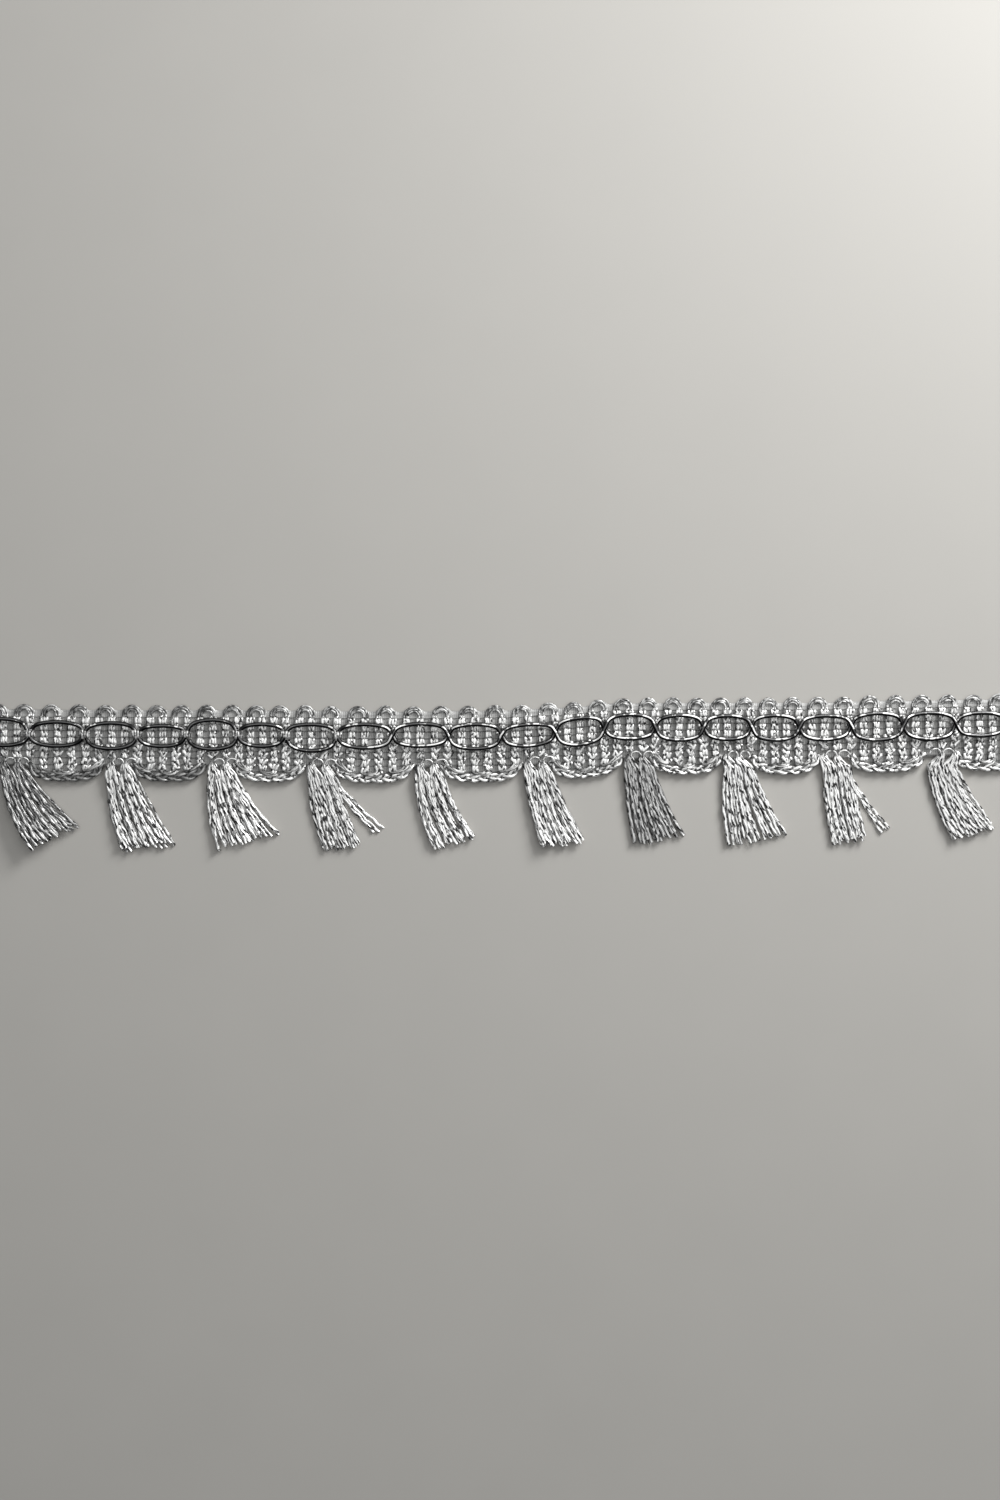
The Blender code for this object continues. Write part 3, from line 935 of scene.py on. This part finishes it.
def cord_path(side):
    """A chain cord's line. side is 1 for cord a, which is high in the even links."""
    first = FIRST_CUT / RIBS_PER_LINK + CORD_SETBACK
    last = LAST_CUT / RIBS_PER_LINK - CORD_SETBACK
    points = []
    for index in range(len(LINKS) - 1):
        for step in range(CORD_STEPS):
            share = (1.0 - math.cos(math.pi * step / CORD_STEPS)) / 2
            u = index + share
            if not first <= u <= last:
                continue
            high = side if index % 2 == 0 else -side
            swing = LINKS[index].rise if high > 0 else -LINKS[index].drop
            x = link_x(u)
            away = abs(x - link_x(round(u)))
            arch = (4.0 * share * (1.0 - share)) ** LINK_ARCH
            y = lay_y(x) + swing * arch * math.tanh(away / CROSSING_TURN)
            ease = math.cos(min(1.0, away / CROSSING_HALF) * math.pi / 2) ** 2
            # Painted shade: cord a is darker near each crossing, where it passes under cord b.
            # Painted glints: both cords are brighter a little way from each junction.
            bright = 1.0 if side < 0 else min(1.0, away / SHADED_HALF)
            if GLINT_NEAR < away < GLINT_FAR:
                bright = GLINT
            points.append(Stitch(x, y, CORD_Z - side * CROSSING_LIFT * ease, 1.0, bright))
    return points


DARK_SILVER = bright_cord()
for name, side in (("chain_cord_a", 1), ("chain_cord_b", -1)):
    cord = spin(
        f"{name}_bright", [cord_path(side)], DARK_SILVER, CORD_WIDTH, CORD_WIDTH, roll=0.0,
        wobble=0.03, step=0.2, sides=12,
    )
    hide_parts(name)


# The tassels: thirty foil yarns each, bunched where two ribs end, lying on the table and cut
# off along one slanting line. Three stray yarns part from the rest at two of them.

HEAD_GAP = 0.3
HEAD_WIDTH = 5.0
HEAD_HEIGHT = 0.9
ROOT_LEAN_SHARE = 0.55
ROOT_LIFT = 0.35
ROOT_LIFT_FALL = 3.0
LIFT_MIDDLE = 0.6
LIFT_LEAN = 0.4
STRAY_START = 0.15
STRAY_PLACE = 0.6
STRAY_APART = 0.14
STRAY_FAN = 0.1
STRAY_ROOM = 0.15
LENGTH_SPREAD = 0.08
LOCKS = 3.5
LOCK_DRAW = 0.02
LIFTED_SHINE = 0.4
YARN_WIDTH = 0.54
YARN_THICKNESS = 0.24
YARN_WOBBLE = 0.3
YARN_DRIFT = 0.5
PLACE_UNEVEN = 0.05
TASSEL_STEPS = 12
TASSEL_SEED = 11

# A layer's bright is painted shade: the lower layers are darker, as they lie in the shade of the
# yarns above.
Layer = namedtuple("Layer", "yarns z bright")
LAYERS = (Layer(8, 0.33, 0.6), Layer(10, 0.61, 0.8), Layer(12, 0.89, 1.0))

# A root point's bright is painted shade: darkest where the yarns come out from under the band.
Root = namedtuple("Root", "below spread rise fat bright")
ROOTS = (Root(-4.5, 0.4, 0.2, 0.6, 0.2), Root(-5.4, 1.3, 0.4, 0.9, 0.8))

BRIGHT_YARN = foil_yarn(
    "silver_tassel_yarn",
    dark=(0.03, 0.03, 0.03, 1.0),
    rough=0.3,
    dash=2.4 * MM,
    twist=0.4,
    crease=3.8,
    fleck=1.05 * MM,
)


def tassel_middle(tassel, q):
    """A tassel's middle line, q of the way from its head (0) to its cut end (1)."""
    root = Vector((tassel.root_x, lay_y(tassel.root_x) + NOTCH_EDGE - HEAD_GAP - HEAD_HEIGHT))
    late = math.radians(tassel.lean)
    early = late * ROOT_LEAN_SHARE
    bend = root + Vector((math.sin(early), -math.cos(early))) * tassel.length / 2
    tip = root + Vector((math.sin(late), -math.cos(late))) * tassel.length
    return root * (1 - q) ** 2 + bend * 2 * q * (1 - q) + tip * q * q


def yarn_middle(tassel, place, q):
    """A yarn's line, place from -1 at the tassel's left to 1 at its right."""
    turn = math.radians(tassel.cut_slope) * q
    half = HEAD_WIDTH / 2 - YARN_WIDTH / 2
    half += ((tassel.tip_width - YARN_WIDTH) / 2 - half) * q
    return tassel_middle(tassel, q) + Vector((math.cos(turn), math.sin(turn))) * half * place


def tassel_paths(tassel, rng):
    """Every yarn of a tassel, from the ribs that it grows out of to the cut."""
    paths = []
    lock_start = rng.uniform(0.0, 2.0 * math.pi)
    top = lay_y(tassel.root_x)
    ribs = range(math.ceil(FIRST_CUT), math.ceil(LAST_CUT))
    nearest = sorted(ribs, key=lambda rib: abs(rib_x(rib) - tassel.root_x))
    feet = sorted(rib_x(rib) for rib in nearest[:2])
    for layer in LAYERS:
        for index in range(layer.yarns):
            place = 2.0 * index / (layer.yarns - 1) - 1.0
            place += rng.uniform(-PLACE_UNEVEN, PLACE_UNEVEN)
            stray = 0
            swing = 0.0
            if tassel.strays and layer is LAYERS[0]:
                stray = max(0, index + 1 + tassel.strays - layer.yarns)
            if stray:
                place = STRAY_PLACE + STRAY_APART * stray
                swing = math.radians(tassel.swing) * (1.0 - STRAY_FAN * (tassel.strays - stray))
            elif tassel.strays and index >= layer.yarns - 2:
                place -= STRAY_ROOM
            parting = yarn_middle(tassel, place, STRAY_START)
            reach = 1.0 - LENGTH_SPREAD * rng.random()
            drift = rng.uniform(-YARN_DRIFT, YARN_DRIFT)
            # Painted shade by layer, scaled by the tassel's own painted light and shade.
            bright = layer.bright * tassel.tone
            foot, apart = (feet[1], place - 0.5) if place > 0.0 else (feet[0], place + 0.5)
            points = [
                Stitch(
                    foot + root.spread * apart, top + root.below, layer.z + root.rise,
                    root.fat, bright * root.bright,
                )
                for root in ROOTS
            ]
            draw = LOCK_DRAW * math.sin(math.pi * LOCKS * place + lock_start)
            for step in range(TASSEL_STEPS + 1):
                q = reach * step / TASSEL_STEPS
                at = yarn_middle(tassel, place + draw * q * q, q)
                if q > STRAY_START:
                    at = parting + Matrix.Rotation(swing, 2) @ (at - parting)
                rest = layer.z + tassel.lift * q * (2.0 - q) * (LIFT_MIDDLE - LIFT_LEAN * place)
                z = rest + ROOT_LIFT * max(0.0, 1.0 - q * ROOT_LIFT_FALL)
                x = at.x + drift * math.sin(math.pi * q)
                # Painted light: lifted yarns are made brighter towards their cut ends; stray yarns
                # get only the tassel's painted light and shade.
                glow = bright * (1.0 + LIFTED_SHINE * tassel.lift * q ** 3)
                points.append(Stitch(x, at.y, z, 1.0, tassel.tone if stray else glow))
            paths.append(points)
    return paths


rng = random.Random(TASSEL_SEED)
for number, tassel in enumerate(TASSELS, start=1):
    yarns = spin(
        f"tassel_yarns_{number:02d}", tassel_paths(tassel, rng), BRIGHT_YARN,
        YARN_WIDTH, YARN_THICKNESS, wobble=YARN_WOBBLE, sides=6, seed=number,
    )
    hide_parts(f"tassel_{number:02d}")


# The table under the trim: a plain pale matte surface, part of the picture and not of the trim.

FLOOR_HALF = 1.5


def pale_floor():
    material, net, sockets = new_finish("pale_table", 0.0)
    coords = net.add("ShaderNodeTexCoord", out="Object")
    mottle = net.add("ShaderNodeTexNoise", {}, {"Vector": coords, "Scale": 60.0, "Detail": 3.0})
    pale = net.blend(mottle, (0.412, 0.401, 0.376, 1.0), (0.435, 0.423, 0.397, 1.0))
    link(net, pale, sockets["Base Color"])
    link(net, net.between(mottle, 0.6, 0.7), sockets["Roughness"])
    return material


floor_mesh = bpy.data.meshes.new("table_top")
corners = [(-FLOOR_HALF, -FLOOR_HALF, 0), (FLOOR_HALF, -FLOOR_HALF, 0)]
corners += [(FLOOR_HALF, FLOOR_HALF, 0), (-FLOOR_HALF, FLOOR_HALF, 0)]
floor_mesh.from_pydata(corners, [], [(0, 1, 2, 3)])
floor_mesh.materials.append(pale_floor())
floor = bpy.data.objects.new("table_top", floor_mesh)
bpy.context.scene.collection.objects.link(floor)


# Light and camera: a soft lamp at the upper right, a larger one overhead, and dim
# surroundings, so that the foil shows both bright and dark. The camera looks straight down.

Lamp = namedtuple("Lamp", "name place size power")
LAMPS = (
    Lamp("window", (0.21, 0.26, 0.2), 0.16, 1.6),
    Lamp("overhead", (0.12, 0.2, 0.8), 1.1, 4.75),
)
AIM = (0.00035, 0.00377, 0.0)
CAMERA_HEIGHT = 0.36
PICTURE_TALL = 0.2508
SENSOR = 36.0

for lamp in LAMPS:
    data = bpy.data.lights.new(lamp.name, "AREA")
    data.size = lamp.size
    data.energy = lamp.power
    light = bpy.data.objects.new(lamp.name, data)
    light.location = lamp.place
    light.rotation_euler = (Vector(lamp.place) - Vector(AIM)).to_track_quat("Z", "Y").to_euler()
    bpy.context.scene.collection.objects.link(light)

world = bpy.data.worlds.new("dim_room")
world.use_nodes = True
world.node_tree.nodes["Background"].inputs["Color"].default_value = (0.9, 0.95, 1.0, 1.0)
world.node_tree.nodes["Background"].inputs["Strength"].default_value = 0.07
bpy.context.scene.world = world
bpy.context.scene.view_settings.view_transform = "Standard"

camera_data = bpy.data.cameras.new("overhead_camera")
camera_data.sensor_width = SENSOR
camera_data.lens = SENSOR * CAMERA_HEIGHT / PICTURE_TALL
camera = bpy.data.objects.new("overhead_camera", camera_data)
camera.location = (AIM[0], AIM[1], CAMERA_HEIGHT)
bpy.context.scene.collection.objects.link(camera)
bpy.context.scene.camera = camera
